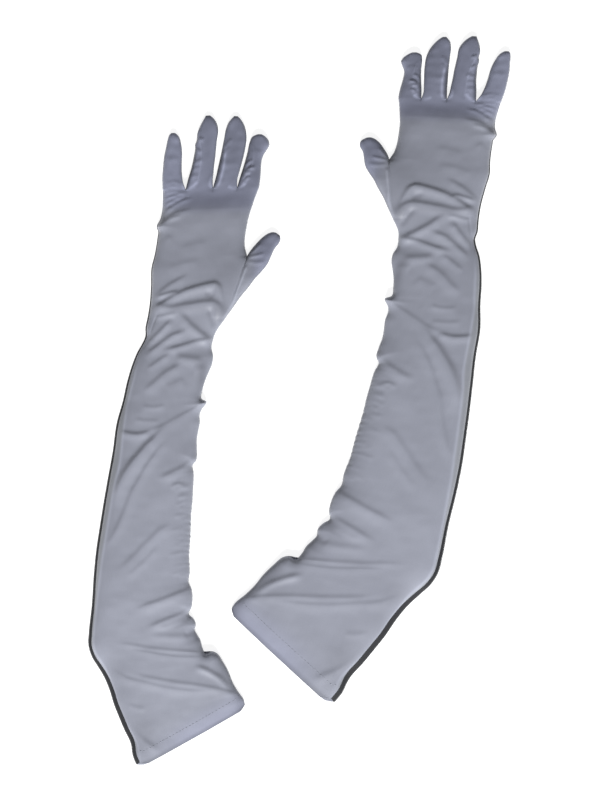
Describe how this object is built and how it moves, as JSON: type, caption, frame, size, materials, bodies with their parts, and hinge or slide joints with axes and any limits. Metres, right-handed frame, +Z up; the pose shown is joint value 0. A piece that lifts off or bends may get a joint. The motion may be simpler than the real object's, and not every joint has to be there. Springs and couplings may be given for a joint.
{
  "type": "opera gloves",
  "caption": "Pair of above-elbow opera gloves in grey stretch satin, laid flat palms up, with sewn fingers, thumb and hem, hinged at the fold lines.",
  "frame": {"origin": "centre of the pair's bounding box, on the surface that both gloves lie on", "axes": "+Y from the open ends towards the fingers, +X towards the left glove, +Z up out of the palms"},
  "size_m": [0.3816, 0.6554, 0.0126],
  "materials": {
    "satin_palm": "soft satin sheen, fine weave",
    "satin_back": "soft satin sheen, fine weave",
    "fourchette_satin": "soft satin sheen, fine weave",
    "seam_allowance": "matt inner side of the satin with overlocked edge",
    "hem_satin": "soft satin sheen, turned hem",
    "sewing_thread": "fine polyester thread"
  },
  "bodies": {
    "right_forearm": {"right_palm_forearm": "satin_palm", "right_back_forearm": "satin_back", "right_forearm_seams": "seam_allowance"},
    "right_hand": {"right_palm_hand": "satin_palm", "right_back_hand": "satin_back", "right_hand_seams": "seam_allowance", "right_thumb_seam": "seam_allowance"},
    "right_cuff": {"right_palm_cuff": "satin_palm", "right_back_cuff": "satin_back", "right_cuff_seams": "seam_allowance", "right_cuff_hem": "hem_satin", "right_hem_stitching": "sewing_thread"},
    "right_thumb": {"right_thumb_palm": "satin_palm", "right_thumb_back": "satin_back"},
    "right_index_finger": {"right_index_palm": "satin_palm", "right_index_back": "satin_back", "right_index_fourchette": "fourchette_satin"},
    "right_middle_finger": {"right_middle_palm": "satin_palm", "right_middle_back": "satin_back", "right_middle_fourchette_index_side": "fourchette_satin", "right_middle_fourchette_ring_side": "fourchette_satin"},
    "right_ring_finger": {"right_ring_palm": "satin_palm", "right_ring_back": "satin_back", "right_ring_fourchette_middle_side": "fourchette_satin", "right_ring_fourchette_little_side": "fourchette_satin"},
    "right_little_finger": {"right_little_palm": "satin_palm", "right_little_back": "satin_back", "right_little_fourchette": "fourchette_satin"},
    "left_forearm": {"left_palm_forearm": "satin_palm", "left_back_forearm": "satin_back", "left_forearm_seams": "seam_allowance"},
    "left_hand": {"left_palm_hand": "satin_palm", "left_back_hand": "satin_back", "left_hand_seams": "seam_allowance", "left_thumb_seam": "seam_allowance"},
    "left_cuff": {"left_palm_cuff": "satin_palm", "left_back_cuff": "satin_back", "left_cuff_seams": "seam_allowance", "left_cuff_hem": "hem_satin", "left_hem_stitching": "sewing_thread"},
    "left_thumb": {"left_thumb_palm": "satin_palm", "left_thumb_back": "satin_back"},
    "left_index_finger": {"left_index_palm": "satin_palm", "left_index_back": "satin_back", "left_index_fourchette": "fourchette_satin"},
    "left_middle_finger": {"left_middle_palm": "satin_palm", "left_middle_back": "satin_back", "left_middle_fourchette_index_side": "fourchette_satin", "left_middle_fourchette_ring_side": "fourchette_satin"},
    "left_ring_finger": {"left_ring_palm": "satin_palm", "left_ring_back": "satin_back", "left_ring_fourchette_middle_side": "fourchette_satin", "left_ring_fourchette_little_side": "fourchette_satin"},
    "left_little_finger": {"left_little_palm": "satin_palm", "left_little_back": "satin_back", "left_little_fourchette": "fourchette_satin"}
  },
  "joints": [
    {"name": "right_wrist_fold", "type": "hinge", "parent": "right_forearm", "child": "right_hand", "pos_m": [-0.1096, 0.05012, 0.0094], "axis": [0.9999, -0.0154, 0], "range_deg": [0, 80]},
    {"name": "right_elbow_fold", "type": "hinge", "parent": "right_forearm", "child": "right_cuff", "pos_m": [-0.13432, -0.22185, 0.0114], "axis": [-0.9981, 0.0624, 0], "range_deg": [0, 145]},
    {"name": "right_thumb_fold", "type": "hinge", "parent": "right_hand", "child": "right_thumb", "pos_m": [-0.05592, 0.10156, 0.0069], "axis": [-0.3282, -0.9446, 0], "range_deg": [0, 90]},
    {"name": "right_index_fold", "type": "hinge", "parent": "right_hand", "child": "right_index_finger", "pos_m": [-0.04577, 0.19221, 0.0094], "axis": [0.9996, 0.0281, 0], "range_deg": [0, 90]},
    {"name": "right_middle_fold", "type": "hinge", "parent": "right_hand", "child": "right_middle_finger", "pos_m": [-0.06677, 0.19165, 0.0094], "axis": [0.9996, 0.028, 0], "range_deg": [0, 90]},
    {"name": "right_ring_fold", "type": "hinge", "parent": "right_hand", "child": "right_ring_finger", "pos_m": [-0.08963, 0.19098, 0.0094], "axis": [0.9996, 0.0281, 0], "range_deg": [0, 90]},
    {"name": "right_little_fold", "type": "hinge", "parent": "right_hand", "child": "right_little_finger", "pos_m": [-0.11267, 0.1903, 0.0094], "axis": [0.9996, 0.0284, 0], "range_deg": [0, 90]},
    {"name": "left_glove_lift", "type": "slide", "parent": "right_forearm", "child": "left_forearm", "axis": [0, 0, 1], "range_m": [0, 0.1]},
    {"name": "left_wrist_fold", "type": "hinge", "parent": "left_forearm", "child": "left_hand", "pos_m": [0.12339, 0.13944, 0.0094], "axis": [0.999, -0.0451, 0], "range_deg": [0, 80]},
    {"name": "left_elbow_fold", "type": "hinge", "parent": "left_forearm", "child": "left_cuff", "pos_m": [0.0584, -0.14624, 0.0114], "axis": [-0.9952, 0.0979, 0], "range_deg": [0, 145]},
    {"name": "left_thumb_fold", "type": "hinge", "parent": "left_hand", "child": "left_thumb", "pos_m": [0.08098, 0.19044, 0.0069], "axis": [-0.049, 0.9988, 0], "range_deg": [0, 90]},
    {"name": "left_index_fold", "type": "hinge", "parent": "left_hand", "child": "left_index_finger", "pos_m": [0.09918, 0.27225, 0.0094], "axis": [0.9993, -0.0373, 0], "range_deg": [0, 90]},
    {"name": "left_middle_fold", "type": "hinge", "parent": "left_hand", "child": "left_middle_finger", "pos_m": [0.12116, 0.27145, 0.0094], "axis": [0.9993, -0.0372, 0], "range_deg": [0, 90]},
    {"name": "left_ring_fold", "type": "hinge", "parent": "left_hand", "child": "left_ring_finger", "pos_m": [0.14549, 0.27052, 0.0094], "axis": [0.9993, -0.0373, 0], "range_deg": [0, 90]},
    {"name": "left_little_fold", "type": "hinge", "parent": "left_hand", "child": "left_little_finger", "pos_m": [0.1704, 0.26956, 0.0094], "axis": [0.9993, -0.0376, 0], "range_deg": [0, 90]}
  ]
}
